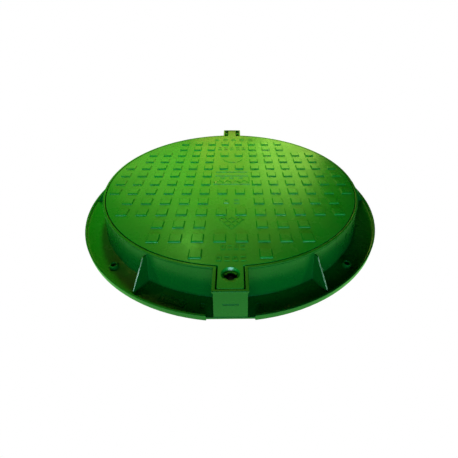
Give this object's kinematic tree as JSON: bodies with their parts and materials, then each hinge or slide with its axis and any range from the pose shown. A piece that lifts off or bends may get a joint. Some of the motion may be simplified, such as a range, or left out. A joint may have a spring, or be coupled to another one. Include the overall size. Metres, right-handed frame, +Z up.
{
  "type": "hinged manhole cover",
  "caption": "Round green polymer manhole cover: a flanged frame with gussets and bolt bosses, and a hinged lid with a raised square tread and a key-operated lock.",
  "frame": {"origin": "centre of the flange's underside, which is also the centre of the clear opening", "axes": "+Z up out of the ground, +Y from the lock towards the hinge, +X to the right seen from the lock side"},
  "size_m": [0.75, 0.745, 0.078],
  "materials": {
    "moulding": "glossy green moulded polymer",
    "seal_rubber": "matt black rubber",
    "bush_plastic": "satin black plastic",
    "zinc_steel": "zinc plated",
    "dark_steel": "blackened steel"
  },
  "bodies": {
    "frame_body": {"frame": "moulding", "seat_gasket": "seal_rubber", "hinge_pin": "zinc_steel", "hinge_bushes": "bush_plastic", "hinge_clips": "zinc_steel", "lock_strike_plate": "zinc_steel", "strike_rivets": "zinc_steel"},
    "lid_body": {"lid": "moulding", "knuckle_sleeve": "zinc_steel", "lock_retainer_plate": "zinc_steel", "lock_plate_screws": "zinc_steel"},
    "lock_body": {"lock_barrel": "dark_steel", "lock_o_ring": "seal_rubber", "lock_cam": "zinc_steel", "lock_cam_washer": "zinc_steel", "lock_cam_nut": "zinc_steel"}
  },
  "joints": [
    {"name": "lid_hinge", "type": "hinge", "parent": "frame_body", "child": "lid_body", "pos_m": [0, 0.345, 0.065], "axis": [-1, 0, 0], "range_deg": [0, 115]},
    {"name": "lock_turn", "type": "hinge", "parent": "lid_body", "child": "lock_body", "pos_m": [0, -0.3326, 0.05], "axis": [0, 0, -1], "range_deg": [0, 90]}
  ]
}
